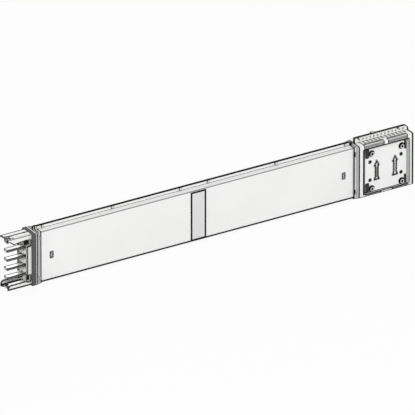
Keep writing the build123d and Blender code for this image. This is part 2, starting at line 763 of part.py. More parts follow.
# Through bolts with flanged heads in front and nuts behind
bolt_end = -cover_face + nut_height + bolt_tail
for number, (x, z) in enumerate(bolt_places, start=1):
    with BuildPart() as bolt:
        with BuildSketch(Plane.XZ.offset(-cover_face)):
            with Locations((x, z)):
                Circle(bolt_head / 2)
        extrude(amount=bolt_flange_height)
        with BuildSketch(Plane.XZ.offset(-cover_face + bolt_flange_height)):
            with Locations((x, z)):
                Circle(bolt_head / 2 - bolt_flange_height)
        extrude(amount=bolt_head_height - bolt_flange_height, taper=12)
        with BuildSketch(Plane.XZ.offset(-cover_face + bolt_head_height)):
            with Locations((x, z)):
                RegularPolygon(bolt_drive / 2, 6)
        extrude(amount=-bolt_drive_depth, mode=Mode.SUBTRACT)
        with BuildSketch(Plane.XZ.offset(-cover_face)):
            with Locations((x, z)):
                Circle(bolt_shank / 2)
        extrude(amount=cover_face - bolt_end)
    save(bolt, f"cover_bolt_{number}")
    with BuildPart() as nut:
        with BuildSketch(Plane.XZ.offset(cover_face)):
            with Locations((x, z)):
                RegularPolygon(nut_across_flats / 2, 6, major_radius=False)
                Circle(bolt_shank / 2 + seat_gap, mode=Mode.SUBTRACT)
        extrude(amount=-nut_height)
    save(nut, f"cover_nut_{number}")

# Corner clamps: ribbed pads in the four corners of the front recess, the right ones with a bar
clamp_z = [recess_z - pane_height / 2 + clamp_margin + clamp_height / 2,
           recess_z + pane_height / 2 - clamp_margin - clamp_height / 2]
clamp_left = recess_x - pane_length / 2 + clamp_margin + clamp_width_left / 2
clamp_right = recess_x + pane_length / 2 - clamp_margin - clamp_width_right / 2
clamp_places = [(clamp_left, clamp_width_left, z) for z in clamp_z]
clamp_places += [(clamp_right, clamp_width_right, z) for z in clamp_z]
for number, (x, width, z) in enumerate(clamp_places, start=1):
    with BuildPart() as clamp:
        with BuildSketch(Plane.XZ.offset(-cover_face)):
            with Locations((x, z)):
                RectangleRounded(width, clamp_height, clamp_round)
        extrude(amount=clamp_thickness)
        with BuildSketch(Plane.XZ.offset(-cover_face + clamp_thickness)):
            with Locations((x, z)):
                with GridLocations(0, clamp_height / clamp_rib_count, 1, clamp_rib_count):
                    Rectangle(width - 2 * clamp_margin, clamp_rib_width)
        extrude(amount=clamp_rib_height)
        if x == clamp_right:
            with BuildSketch(Plane.XY.offset(z - clamp_height / 2 + clamp_bar_inset)):
                with Locations((x + width / 2, cover_face - clamp_bar_stand)):
                    Circle(clamp_bar / 2)
            extrude(amount=clamp_height - 2 * clamp_bar_inset)
    save(clamp, f"corner_clamp_{number}")

# Contact plates above and below each bar
contact_x = block_x + contact_start


def build_contact(label, z, direction):
    inner_z = z + direction * (bar_thickness / 2 + contact_fit)
    with BuildPart() as contact:
        with BuildSketch(Plane.XY.offset(inner_z)):
            with Locations((contact_x + contact_length / 2, 0)):
                contact_outline = Rectangle(contact_length, bar_width)
            chamfer(contact_outline.vertices(), bar_tip_cut)
        extrude(amount=direction * contact_thickness)
    save(contact, label)


for number, z in enumerate(pole_heights, start=1):
    build_contact(f"contact_plate_{number}_lower", z, -1)
    build_contact(f"contact_plate_{number}_upper", z, 1)
build_contact("earth_contact", earth_height, 1)

# Insulating barriers stacked between the contact plates
barrier_x = contact_x - barrier_margin
barrier_length = contact_length + 2 * barrier_margin
contact_reach = bar_thickness / 2 + contact_fit + contact_thickness + barrier_fit
barrier_lows = [z + contact_reach for z in [earth_height] + pole_heights]
barrier_highs = [z - contact_reach for z in pole_heights]
barrier_highs.append(casing_high - sleeve_plate - barrier_end_margin)
for number, (low, high) in enumerate(zip(barrier_lows, barrier_highs), start=1):
    with BuildPart() as barrier:
        with BuildSketch(Plane.XY.offset(low)):
            with Locations((barrier_x + barrier_length / 2, 0)):
                Rectangle(barrier_length, barrier_width)
        extrude(amount=high - low)
        held = [(x, z) for x, z in bolt_places if low < z < high]
        if held:
            with BuildSketch(Plane.XZ):
                with Locations(*held):
                    Circle(boss_diameter / 2)
            extrude(amount=cavity_half - seat_gap, both=True)
            with BuildSketch(Plane.XZ):
                with Locations(*held):
                    Circle(bolt_shank / 2 + bolt_hole_fit)
            extrude(amount=block_depth, both=True, mode=Mode.SUBTRACT)
    save(barrier, f"pole_barrier_{number}")

# Round cap on top of the rib
with BuildPart() as rib_cap:
    with BuildSketch(Plane.XY.offset(block_height + rib_height)):
        with Locations((block_x + cap_station, 0)):
            Circle(cap_diameter / 2)
    extrude(amount=cap_thickness)
    fillet(rib_cap.edges().group_by(Axis.Z)[-1], cap_thickness / 3)
save(rib_cap, "rib_cap")
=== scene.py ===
import json
import math

import bmesh
import bpy
from mathutils import Matrix, Vector


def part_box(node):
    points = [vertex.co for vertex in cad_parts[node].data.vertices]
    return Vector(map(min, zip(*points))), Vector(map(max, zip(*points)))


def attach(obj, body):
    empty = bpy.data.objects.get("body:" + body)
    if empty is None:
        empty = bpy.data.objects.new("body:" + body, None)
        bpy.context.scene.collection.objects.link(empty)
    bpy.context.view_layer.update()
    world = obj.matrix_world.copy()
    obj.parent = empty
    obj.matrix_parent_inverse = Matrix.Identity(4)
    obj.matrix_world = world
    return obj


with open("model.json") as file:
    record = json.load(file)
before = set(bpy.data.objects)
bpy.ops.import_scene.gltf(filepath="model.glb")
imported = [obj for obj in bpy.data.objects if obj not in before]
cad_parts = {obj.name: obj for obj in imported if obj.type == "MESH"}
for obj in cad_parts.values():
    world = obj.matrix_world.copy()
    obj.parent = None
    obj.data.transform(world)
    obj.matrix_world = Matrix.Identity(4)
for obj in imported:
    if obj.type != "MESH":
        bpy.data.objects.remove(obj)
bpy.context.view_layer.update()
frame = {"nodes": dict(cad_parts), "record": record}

MM = 0.001
X = 0
Y = 1
Z = 2


def grey(value):
    return (value, value, value)


# The view: a parallel projection in effect, from far away with a long lens
VIEW_AZIMUTH = math.radians(31.4)
VIEW_ELEVATION = math.radians(26.1)
VIEW_WIDTH = 1.0588
VIEW_AIM = Vector((0.0016, 0.0, 0.0763))
LENS = 1700.0
SENSOR = 36.0

# Colours, as linear values
WHITE = (0.90, 0.90, 0.895)
WHITE_SOIL = (0.87, 0.87, 0.865)
LINE = grey(0.003)
SOFT_LINE = grey(0.14)
# painted shade: a grey line on the rounded folds, paler than the black lines
FOLD_LINE_AND_SHADE = grey(0.27)
# painted shade for the block recess's right wall
WALL_SHADE = grey(0.42)
SHAFT_GREY = grey(0.22)
BAND_GREY = grey(0.76)
BAND_SOIL = grey(0.73)
COLLAR_GREY = grey(0.70)
CAP_GREY = grey(0.72)
INSULATOR_WHITE = (0.86, 0.86, 0.84)
# painted shade: the barriers behind the cover's holes
HOLE_SHADE_DARK = grey(0.012)
CLAMP_DARK = grey(0.16)
SEAL_RUBBER = grey(0.10)
JOINT_RUBBER = grey(0.46)
BARRIER_RUBBER = grey(0.006)
CONTACT_METAL = (0.80, 0.79, 0.76)
BAR_METAL = grey(0.88)
BAR_STREAK = grey(0.78)
# painted shade for the bars' sides
BAR_SIDE_SHADE = grey(0.25)
BRIGHT_STEEL = grey(0.75)
SCREW_STEEL = grey(0.04)
SCREW_STREAK = grey(0.02)

# How a painted line starts and ends
BLUR = 0.1 * MM
ROUND_BLUR = 0.2 * MM

# Cosine between the bevelled normal and the true one, beside an edge
EDGE_STARTS = 0.9985
EDGE_IS_FULL = 0.9895
# Product of the normal's two parts across the length, on a rounded corner
CORNER_STARTS = 0.12
CORNER_IS_FULL = 0.30
# Samples of the bevel nodes, for the drawn edges and for the softened ones
EDGE_SAMPLES = 8
SOFT_SAMPLES = 4

# Sizes of the pieces that the finishes follow
SEAM_HEIGHT = 11.7 * MM
RIB_HEIGHT = 16.1 * MM
COVER_LAP = 6.0 * MM
RECESS_RUN_X = 6.7 * MM
RECESS_RUN_Z = 2.0 * MM
# (start beside the housing's left end, length) of the grip flutes
TOP_FLUTES = ((18.0 * MM, 57.0 * MM), (90.0 * MM, 55.4 * MM))
FOOT_FLUTES = ((19.7 * MM, 46.2 * MM), (101.7 * MM, 46.8 * MM))
FLUTE_BAND = 11.5 * MM
FLUTE_END = 2.6 * MM
LEFT_ARROW_SHAFT = 41.6 * MM
SHAFT_FOOT = 41.1 * MM
SHAFT_TOP = 70.6 * MM
FIRST_RIB = 2.6 * MM
GROOVE = 3.6 * MM
COLLAR_RING = 9.4 * MM
JOINT_LUG = 8.0 * MM
CLAMP_BAR = 4.4 * MM
BOLT_RING = 9.2 * MM
BOLT_FLANGE = 2.7 * MM
FLANGE_LIGHT = 6.2 * MM
# radius of the painted shade round each of the cover's holes
HOLE_SHADE_RING = 4.6 * MM
POCKET_START = -553.0 * MM
POCKET_END = -535.4 * MM
LOWER_POCKET_TOP = 31.2 * MM
UPPER_POCKET_FOOT = 113.5 * MM
COVER_BOLTS = 4
POLE_BARRIERS = 6

# The earth bar's cap screw
SCREW_PLACE = (-594.2 * MM, 3.0 * MM)
SCREW_STEPS = 48
SCREW_RADIUS = 4.5 * MM
SCREW_HEIGHT = 4.0 * MM
SCREW_FOOT_ROUND = 0.3 * MM
SCREW_TOP_ROUND = 0.6 * MM
SCREW_TAPER = 0.2 * MM
SOCKET_RADIUS = 2.3 * MM
SOCKET_DEPTH = 2.2 * MM

# Stage and light
FLOOR_SIZE = 12.0
FLOOR_COLOR = grey(0.88)
FLOOR_CLOUD = 0.98
BACKDROP_SHARE = 0.88
WORLD_LIGHT = 0.6
LIGHT_AIM = Vector((0, 0, 0.07))
# name, place, size and power
LIGHTS = (("key", (-1.6, -2.4, 2.6), 1.6, 45.0),
          ("fill", (2.4, -1.8, 1.8), 2.2, 20.0),
          ("back", (0.5, 2.6, 2.2), 2.0, 16.0))


# Node kit

class Tree:
    """A node tree, with short calls for the nodes that the finishes and the world use."""

    def __init__(self, tree):
        self.tree = tree

    def add(self, kind, **settings):
        node = self.tree.nodes.new(kind)
        for key, value in settings.items():
            setattr(node, key, value)
        return node

    def link(self, source, target):
        self.tree.links.new(source, target)

    def feed(self, socket, value):
        if isinstance(value, bpy.types.NodeSocket):
            self.link(value, socket)
        elif isinstance(value, tuple):
            socket.default_value = (*value, 1.0)
        else:
            socket.default_value = value

    def math(self, operation, first, second=0.0):
        node = self.add("ShaderNodeMath", operation=operation)
        self.feed(node.inputs[0], first)
        self.feed(node.inputs[1], second)
        return node.outputs[0]

    def fade(self, value, start, end):
        # 0 at start, 1 at end, whichever is the larger
        node = self.add("ShaderNodeMapRange", clamp=True)
        node.inputs["From Min"].default_value = start
        node.inputs["From Max"].default_value = end
        self.link(value, node.inputs["Value"])
        return node.outputs["Result"]

    def all_of(self, *masks):
        overlap = masks[0]
        for mask in masks[1:]:
            overlap = self.math("MULTIPLY", overlap, mask)
        return overlap

    def any_of(self, *masks):
        union = masks[0]
        for mask in masks[1:]:
            union = self.math("MAXIMUM", union, mask)
        return union

    def opposite(self, mask):
        return self.math("SUBTRACT", 1.0, mask)

    def seen_directly(self):
        # 1 for what the camera sees, straight or by a reflection
        path = self.add("ShaderNodeLightPath")
        return self.any_of(path.outputs["Is Camera Ray"], path.outputs["Is Glossy Ray"],
                           path.outputs["Is Transmission Ray"])


class Finish(Tree):
    """A material, with masks for places, edges and facing sides in the object's own axes."""

    def __init__(self, name):
        self.material = bpy.data.materials.new(name)
        self.material.use_nodes = True
        super().__init__(self.material.node_tree)
        self.tree.nodes.clear()
        self.output = self.add("ShaderNodeOutputMaterial")
        self.shader = self.add("ShaderNodeBsdfPrincipled")
        self.link(self.shader.outputs["BSDF"], self.output.inputs["Surface"])
        self.place = self.add("ShaderNodeTexCoord")

    def noise(self, scale, detail, stretch=None):
        node = self.add("ShaderNodeTexNoise")
        node.inputs["Scale"].default_value = scale
        node.inputs["Detail"].default_value = detail
        vector = self.place.outputs["Object"]
        if stretch is not None:
            mapping = self.add("ShaderNodeMapping")
            mapping.inputs["Scale"].default_value = stretch
            self.link(vector, mapping.inputs["Vector"])
            vector = mapping.outputs["Vector"]
        self.link(vector, node.inputs["Vector"])
        return node.outputs["Fac"]

    def blend(self, factor, first, second):
        # sockets 6 and 7 in and 2 out are the mix node's colours
        node = self.add("ShaderNodeMix", data_type="RGBA", blend_type="MIX")
        self.feed(node.inputs[0], factor)
        self.feed(node.inputs[6], first)
        self.feed(node.inputs[7], second)
        return node.outputs[2]

    def part_of(self, output, axis):
        node = self.add("ShaderNodeSeparateXYZ")
        self.link(self.place.outputs[output], node.inputs[0])
        return node.outputs[axis]

    def edges(self, radius):
        # 1 beside a sharp edge, within about half the radius, and 0 on the open surface
        bevel = self.add("ShaderNodeBevel", samples=EDGE_SAMPLES)
        bevel.inputs["Radius"].default_value = radius
        geometry = self.add("ShaderNodeNewGeometry")
        dot = self.add("ShaderNodeVectorMath", operation="DOT_PRODUCT")
        self.link(bevel.outputs["Normal"], dot.inputs[0])
        self.link(geometry.outputs["True Normal"], dot.inputs[1])
        return self.fade(dot.outputs["Value"], EDGE_STARTS, EDGE_IS_FULL)

    def above(self, axis, place):
        return self.fade(self.part_of("Object", axis), place, place + BLUR)

    def below(self, axis, place):
        return self.fade(self.part_of("Object", axis), place, place - BLUR)

    def within(self, axis, start, end):
        return self.all_of(self.above(axis, start), self.below(axis, end))

    def near_point(self, axes, place, radius):
        # 1 within the radius of the place, measured along the two axes
        squares = []
        for axis, value in zip(axes, place):
            away = self.math("SUBTRACT", self.part_of("Object", axis), value)
            squares.append(self.math("MULTIPLY", away, away))
        return self.fade(self.math("ADD", *squares), radius ** 2, (radius - ROUND_BLUR) ** 2)

    def facing(self, axis, low=0.6, high=0.8):
        # 1 where the surface faces along the axis, either way
        return self.fade(self.math("ABSOLUTE", self.part_of("Normal", axis)), low, high)

    def round_corners(self):
        # 1 on the rounded corners that run along the length
        across = self.math("ABSOLUTE", self.part_of("Normal", Y))
        upward = self.math("ABSOLUTE", self.part_of("Normal", Z))
        return self.fade(self.math("MULTIPLY", across, upward), CORNER_STARTS, CORNER_IS_FULL)

    def surface(self, color, rough, grain, strength, depth, soft):
        self.feed(self.shader.inputs["Base Color"], color)
        self.shader.inputs["Roughness"].default_value = rough
        bevel = self.add("ShaderNodeBevel", samples=SOFT_SAMPLES)
        bevel.inputs["Radius"].default_value = soft
        bump = self.add("ShaderNodeBump")
        bump.inputs["Strength"].default_value = strength
        bump.inputs["Distance"].default_value = depth
        self.link(grain, bump.inputs["Height"])
        self.link(bevel.outputs["Normal"], bump.inputs["Normal"])
        self.link(bump.outputs["Normal"], self.shader.inputs["Normal"])
        return self.material


def shaded(color, factor):
    return tuple(value * factor for value in color)


def box(node):
    low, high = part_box(node)
    return Vector(low), Vector(high)


def hole_places():
    # the round holes of the cover, from the record's bolt pattern
    mount = next(row for row in frame["record"]["mounts"] if row["name"] == "cover_holes")
    x, _, z = mount["pos_m"]
    half_x = mount["dims"]["spacing_x_mm"] * MM / 2
    half_z = mount["dims"]["spacing_y_mm"] * MM / 2
    return [(x + side * half_x, z + way * half_z) for side in (-1, 1) for way in (-1, 1)]


# What the finishes of one kind share

def powder(n, color=WHITE, soil=WHITE_SOIL):
    # powder coat: a faint cloud of soil over the paint
    cloud = n.noise(scale=6.0, detail=4.0)
    return n.blend(n.fade(cloud, 0.7, 0.35), color, soil)


def finish_powder(n, color):
    n.shader.inputs["Specular IOR Level"].default_value = 0.2
    grain = n.noise(scale=900.0, detail=2.0)
    return n.surface(color, rough=0.5, grain=grain, strength=0.12, depth=0.05 * MM, soft=0.35 * MM)


def mottled(n, color, scale=25.0):
    # moulded plastic: a slight variation of the colour
    cloud = n.noise(scale, detail=4.0)
    return n.blend(n.fade(cloud, 0.3, 0.75), shaded(color, 0.94), color)


def finish_moulded(n, color):
    n.shader.inputs["Specular IOR Level"].default_value = 0.25
    grain = n.noise(scale=2500.0, detail=3.0)
    return n.surface(color, rough=0.55, grain=grain, strength=0.2, depth=0.04 * MM, soft=0.3 * MM)


def brushed(n, stretch):
    # streaks along the length
    return n.noise(scale=300.0, detail=5.0, stretch=(stretch, 1.0, 1.0))


def steel_grain(n):
    return n.noise(scale=400.0, detail=4.0)


def streaked(n, grain, streak, color):
    return n.blend(n.fade(grain, 0.3, 0.7), streak, color)


def finish_metal(n, color, grain, rough, soft):
    n.shader.inputs["Metallic"].default_value = 1.0
    return n.surface(color, rough=rough, grain=grain, strength=0.15, depth=0.03 * MM, soft=soft)


# Painted pieces

def casing_finish(name):
    # dark lines along the foot, the seam's crest and the marks,
    # and softer ones along the folds and the seam's foot, those on the folds also painted shade
    foot_line = 6.0 * MM
    crest_line = 4.0 * MM
    seam_line = 1.6 * MM
    marks_below = 30.0 * MM
    marks_above = 10.0 * MM
    n = Finish(name)
    low, high = box("casing")
    middle = (low.z + high.z) / 2
    roof = high.z - SEAM_HEIGHT
    foot = n.below(Z, low.z + foot_line)
    crest = n.above(Z, high.z - crest_line)
    marks = n.all_of(n.edges(radius=4.2 * MM), n.within(Z, middle - marks_below, middle + marks_above))
    seam_foot = n.within(Z, roof + BLUR, roof + seam_line)
    # painted shade: the rounded folds in a grey line
    color = n.blend(n.round_corners(), powder(n), FOLD_LINE_AND_SHADE)
    color = n.blend(seam_foot, color, SOFT_LINE)
    return finish_powder(n, n.blend(n.any_of(foot, crest, marks), color, LINE))


def sleeve_finish(name):
    # dark lines along the cut edges, the roof's slit, the foot and the tips, a pale one on the upper fold,
    # also painted shade
    roof_depth = 1.0 * MM
    slit_half = 2.6 * MM
    rear_line = 6.0 * MM
    foot_line = 5.8 * MM
    tip_line = 2.6 * MM
    fold_height = 5.5 * MM
    fold_depth = 5.0 * MM
    n = Finish(name)
    low, high = box("end_sleeve")
    roof = n.all_of(n.above(Z, high.z - roof_depth), n.facing(Z))
    slit = n.all_of(roof, n.within(Y, -slit_half, slit_half))
    rear_edge = n.all_of(roof, n.above(Y, high.y - rear_line))
    foot = n.all_of(n.below(Z, low.z + foot_line), n.facing(Y, low=0.2, high=0.4))
    tips = n.below(X, low.x + tip_line)
    upper_fold = n.all_of(n.above(Z, high.z - fold_height), n.below(Y, low.y + fold_depth))
    edges = n.all_of(n.edges(radius=6.0 * MM), n.opposite(upper_fold))
    # painted shade: the rounded upper fold in a pale grey line
    color = n.blend(n.all_of(n.round_corners(), upper_fold), powder(n), FOLD_LINE_AND_SHADE)
    return finish_powder(n, n.blend(n.any_of(slit, rear_edge, foot, tips, edges), color, LINE))


def flute_lines(n, left, front, roof, recess_foot, foot):
    # the ends of the shoulder's flutes, the rows of the foot's flutes and the two ends between them
    row_start = 4.6 * MM
    row_end = 6.2 * MM
    under_recess = 1.0 * MM
    shoulder_ends = []
    for station, length in TOP_FLUTES:
        start = left + station
        end = start + length
        shoulder_ends.append(n.within(X, start - FLUTE_END, start))
        shoulder_ends.append(n.within(X, end, end + FLUTE_END))
    shoulder = n.all_of(n.above(Z, roof - FLUTE_BAND), n.below(Y, front + FLUTE_BAND))
    rows = [n.within(X, left + station, left + station + length) for station, length in FOOT_FLUTES]
    row_height = n.within(Z, foot + row_start, foot + row_end)
    first, second = FOOT_FLUTES
    inner_ends = [n.within(X, left + end - FLUTE_END, left + end + FLUTE_END)
                  for end in (first[0] + first[1], second[0])]
    foot_band = n.below(Z, recess_foot - under_recess)
    return n.any_of(n.all_of(n.any_of(*shoulder_ends), shoulder),
                    n.all_of(n.any_of(*inner_ends), foot_band),
                    n.all_of(n.any_of(*rows), row_height))


def recess_lines(n, left, right, foot, top):
    # the lines along the recess's left and top edges
    left_half = 3.0 * MM
    left_under = 1.0 * MM
    left_over = 1.5 * MM
    top_under = 1.2 * MM
    top_over = 3.2 * MM
    top_before = 2.0 * MM
    left_line = n.all_of(n.within(X, left - left_half, left + left_half),
                         n.within(Z, foot - left_under, top + left_over))
    top_line = n.all_of(n.within(Z, top - top_under, top + top_over),
                        n.within(X, left - top_before, right))
    return n.any_of(left_line, top_line)


def block_finish(name):
    # dark lines along the housing's ends, foot, rib and recess, soft ones along the fine edges, and painted
    # shade on the recess's right wall
    left_end = 3.4 * MM
    right_end = 5.0 * MM
    foot_line = 3.8 * MM
    crest_line = 2.8 * MM
    rib_start = 4.0 * MM
    rib_foot_line = 1.2 * MM
    rim_under = 2.0 * MM
    rim_over = 1.5 * MM
    n = Finish(name)
    low, high = box("block_housing_front")
    cover_low, cover_high = box("block_cover_front")
    roof = high.z - RIB_HEIGHT
    recess_left = cover_low.x + COVER_LAP - RECESS_RUN_X
    recess_right = cover_high.x - COVER_LAP + RECESS_RUN_X
    recess_foot = cover_low.z + COVER_LAP - RECESS_RUN_Z
    recess_top = cover_high.z - COVER_LAP + RECESS_RUN_Z
    ends = n.any_of(n.below(X, low.x + left_end),
                    n.all_of(n.above(X, high.x - right_end), n.opposite(n.facing(X))))
    foot = n.below(Z, low.z + foot_line)
    crest = n.above(Z, high.z - crest_line)
    rib_edge = n.all_of(n.edges(radius=5.0 * MM), n.above(Z, roof + rib_start))
    rib_foot = n.within(Z, roof + BLUR, roof + rib_foot_line)
    rim_zone = n.within(Z, recess_foot - rim_under, recess_top + rim_over)
    rim = n.all_of(n.edges(radius=6.0 * MM), rim_zone)
    fine = n.all_of(n.edges(radius=1.8 * MM), n.opposite(rim_zone))
    # the recess's right wall faces left and is painted grey as shade; the housing's left end faces left
    # too, and is under its line
    right_wall_shade = n.all_of(n.fade(n.part_of("Normal", X), -0.3, -0.5), rim_zone)
    color = n.blend(n.any_of(fine, rib_foot), powder(n), SOFT_LINE)
    # painted shade: the recess's right wall in grey
    color = n.blend(right_wall_shade, color, WALL_SHADE)
    lines = n.any_of(ends, foot, crest, rib_edge,
                     recess_lines(n, recess_left, recess_right, recess_foot, recess_top),
                     flute_lines(n, low.x, low.y, roof, recess_foot, low.z),
                     n.all_of(rim, n.opposite(right_wall_shade)))
    return finish_powder(n, n.blend(lines, color, LINE))


def cover_finish(name):
    # in front, dark rings round the bolts, painted shade over the holes' walls and rims, and dark arrows
    # with a grey shaft
    relief_depth = 0.5 * MM
    shaft_left = 3.0 * MM
    shaft_right = 4.6 * MM
    n = Finish(name)
    low = box("block_cover_front")[0]
    front = n.below(Y, 0.0)
    relief = n.below(Y, low.y + relief_depth)
    # painted shade in the holes: a dark disc over each hole's wall and rim; drawn rings round the bolts
    rings = [n.near_point((X, Z), place, HOLE_SHADE_RING) for place in hole_places()]
    for number in range(1, COVER_BOLTS + 1):
        bolt_low, bolt_high = box(f"cover_bolt_{number}")
        centre = (bolt_low + bolt_high) / 2
        rings.append(n.near_point((X, Z), (centre.x, centre.z), BOLT_RING))
    arrow = low.x + COVER_LAP - RECESS_RUN_X + LEFT_ARROW_SHAFT
    shaft = n.all_of(n.within(X, arrow - shaft_left, arrow + shaft_right),
                     n.within(Z, low.z + SHAFT_FOOT, low.z + SHAFT_TOP), front)
    color = n.blend(shaft, powder(n), SHAFT_GREY)
    lines = n.any_of(n.all_of(n.edges(radius=4.0 * MM), n.opposite(shaft)), relief,
                     n.all_of(n.any_of(*rings), front))
    return finish_powder(n, n.blend(lines, color, LINE))


def band_finish(name):
    # grey, with a dark line just inside its seal
    line = 1.2 * MM
    n = Finish(name)
    low, high = box("fire_barrier_panel")
    border = n.any_of(n.below(X, low.x + line), n.above(X, high.x - line),
                      n.below(Z, low.z + line), n.above(Z, high.z - line))
    return finish_powder(n, n.blend(border, powder(n, BAND_GREY, BAND_SOIL), LINE))


# Rubber and plastic pieces

def rubber_finish(name, color, node):
    # matt, with a dark line along the piece's foot
    foot_line = 2.2 * MM
    n = Finish(name)
    low = box(node)[0]
    grain = n.noise(scale=1500.0, detail=4.0)
    shade = n.blend(n.fade(grain, 0.3, 0.75), shaded(color, 0.85), shaded(color, 1.15))
    shade = n.blend(n.below(Z, low.z + foot_line), shade, LINE)
    n.shader.inputs["Specular IOR Level"].default_value = 0.2
    return n.surface(shade, rough=0.8, grain=grain, strength=0.3, depth=0.08 * MM, soft=0.4 * MM)


def end_collar_finish(name):
    # white first rib, a groove dark with painted shade, then grey rib and skirt, each closed by a dark
    # line, the skirt's line also painted shadow of the step, and dark clips, foot and lugs
    clip_depth = 5.0 * MM
    skirt_before = 1.4 * MM
    skirt_after = 2.2 * MM
    end_line = 3.6 * MM
    foot_line = 2.2 * MM
    lug_height = 2.0 * MM
    n = Finish(name)
    low, high = box("end_collar")
    groove = low.x + FIRST_RIB
    skirt = low.x + COLLAR_RING
    color = n.blend(n.above(X, groove), mottled(n, WHITE), mottled(n, COLLAR_GREY))
    # painted shade in the groove, and painted shadow across the step from rib to skirt
    lines = n.any_of(n.within(X, groove, groove + GROOVE),
                     n.within(X, skirt - skirt_before, skirt + skirt_after),
                     n.above(X, high.x - end_line),
                     n.below(Z, low.z + foot_line),
                     n.all_of(n.below(Y, low.y + clip_depth), n.edges(radius=1.5 * MM)),
                     n.above(Z, high.z - lug_height))
    return finish_moulded(n, n.blend(lines, color, LINE))


def joint_collar_finish(name):
    # white, with painted shade in its catch slots, and dark lines at its outer end, its foot and its lug
    end_line = 2.8 * MM
    slot_depth = 0.6 * MM
    foot_line = 2.0 * MM
    n = Finish(name)
    low, high = box("joint_collar")
    lines = n.any_of(n.below(X, low.x + end_line),
                     # painted shade: the floors of the catch slots in black
                     n.all_of(n.within(Y, low.y + slot_depth, high.y - slot_depth), n.facing(Y)),
                     n.below(Z, low.z + foot_line),
                     n.all_of(n.above(Z, high.z - JOINT_LUG), n.edges(radius=4.0 * MM)))
    return finish_moulded(n, n.blend(lines, mottled(n, WHITE), LINE))


def insulator_finish(name):
    # pale, with dark edges, and painted shade in the pockets behind the sleeve's hook slots
    n = Finish(name)
    heights = n.any_of(n.below(Z, LOWER_POCKET_TOP), n.above(Z, UPPER_POCKET_FOOT))
    # painted shade: the front-facing faces of the pockets in black
    pocket_shade = n.all_of(n.within(X, POCKET_START, POCKET_END), n.facing(Y), heights)
    lines = n.any_of(n.edges(radius=1.8 * MM), pocket_shade)
    return finish_moulded(n, n.blend(lines, mottled(n, INSULATOR_WHITE), LINE))


def barrier_shade_finish(name):
    # painted near black, as the shade seen through the cover's holes, the only place it is seen
    n = Finish(name)
    return finish_moulded(n, mottled(n, HOLE_SHADE_DARK))


def rib_cap_finish(name):
    # pale top inside a dark rim
    rim = 2.4 * MM
    n = Finish(name)
    low, high = box("rib_cap")
    centre = (low + high) / 2
    radius = (high.x - low.x) / 2 - rim
    top = n.all_of(n.facing(Z, low=0.9, high=0.98), n.near_point((X, Y), (centre.x, centre.y), radius))
    return finish_moulded(n, n.blend(top, LINE, mottled(n, CAP_GREY)))


def clamp_finish(name):
    # dark pads, and pale bars on the right pair
    n = Finish(name)
    bar_side = box("corner_clamp_3")[1].x - CLAMP_BAR
    pad_color = n.blend(n.edges(radius=2.0 * MM), mottled(n, CLAMP_DARK, scale=60.0), LINE)
    bar_color = n.blend(n.facing(X, low=0.35, high=0.5), WHITE, LINE)
    return finish_moulded(n, n.blend(n.above(X, bar_side), pad_color, bar_color))


# Metal pieces

def contact_finish(name):
    # plated, with fine dark edges
    n = Finish(name)
    grain = brushed(n, stretch=0.05)
    shade = streaked(n, grain, shaded(CONTACT_METAL, 0.88), CONTACT_METAL)
    shade = n.blend(n.edges(radius=0.8 * MM), shade, LINE)
    return finish_metal(n, shade, grain, rough=0.4, soft=0.3 * MM)


def bar_finish(name):
    # pale top between two dark lines, and sides darkened as painted shade
    rear_line = 4.4 * MM
    front_line = 2.6 * MM
    n = Finish(name)
    low, high = box("busbar_1")
    grain = brushed(n, stretch=0.02)
    # painted shade: the front and back sides darker than the top
    shade = n.blend(n.facing(Y), streaked(n, grain, BAR_STREAK, BAR_METAL), BAR_SIDE_SHADE)
    sides = n.any_of(n.above(Y, high.y - rear_line), n.below(Y, low.y + front_line))
    lines = n.any_of(n.all_of(n.facing(Z), sides), n.edges(radius=4.5 * MM))
    return finish_metal(n, n.blend(lines, shade, LINE), grain, rough=0.45, soft=0.3 * MM)


def rivet_finish(name):
    # bright flat crown, dark rounded rim
    n = Finish(name)
    shade = n.blend(n.facing(Y, low=0.93, high=0.99), LINE, BRIGHT_STEEL)
    return finish_metal(n, shade, steel_grain(n), rough=0.4, soft=0.2 * MM)


def bolt_finish(name, node):
    # bright head and flange, dark sides and rim, and a dark socket that is painted shade
    head_depth = 0.4 * MM
    n = Finish(name)
    low, high = box(node)
    centre = (low + high) / 2
    top = n.below(Y, low.y + head_depth)
    flange = n.all_of(n.above(Y, low.y + BOLT_FLANGE),
                      n.near_point((X, Z), (centre.x, centre.z), FLANGE_LIGHT))
    bright = n.all_of(n.any_of(top, flange), n.facing(Y, low=0.9, high=0.98))
    # painted shade: the socket is left dark, with the drawn sides and rim
    shade = n.blend(bright, LINE, BRIGHT_STEEL)
    return finish_metal(n, shade, steel_grain(n), rough=0.4, soft=0.2 * MM)


def screw_finish(name):
    # dark, because the drawing shows the screw as a black dot
    n = Finish(name)
    grain = steel_grain(n)
    shade = streaked(n, grain, SCREW_STREAK, SCREW_STEEL)
    return finish_metal(n, shade, grain, rough=0.45, soft=0.2 * MM)


def make_materials():
    return {
        "casing_paint": casing_finish("casing_paint"),
        "block_paint": block_finish("block_paint"),
        "cover_paint": cover_finish("cover_paint"),
        "sleeve_paint": sleeve_finish("sleeve_paint"),
        "band_paint": band_finish("band_paint"),
        "seal_rubber": rubber_finish("seal_rubber", SEAL_RUBBER, "end_gasket"),
        "joint_seal": rubber_finish("joint_seal", JOINT_RUBBER, "joint_gasket"),
        "collar_plastic": end_collar_finish("collar_plastic"),
        "insulator_plastic": insulator_finish("insulator_plastic"),
        "clamp_plastic": clamp_finish("clamp_plastic"),
        "bar_metal": bar_finish("bar_metal"),
        "contact_metal": contact_finish("contact_metal"),
        "fastener_steel": rivet_finish("fastener_steel"),
    }


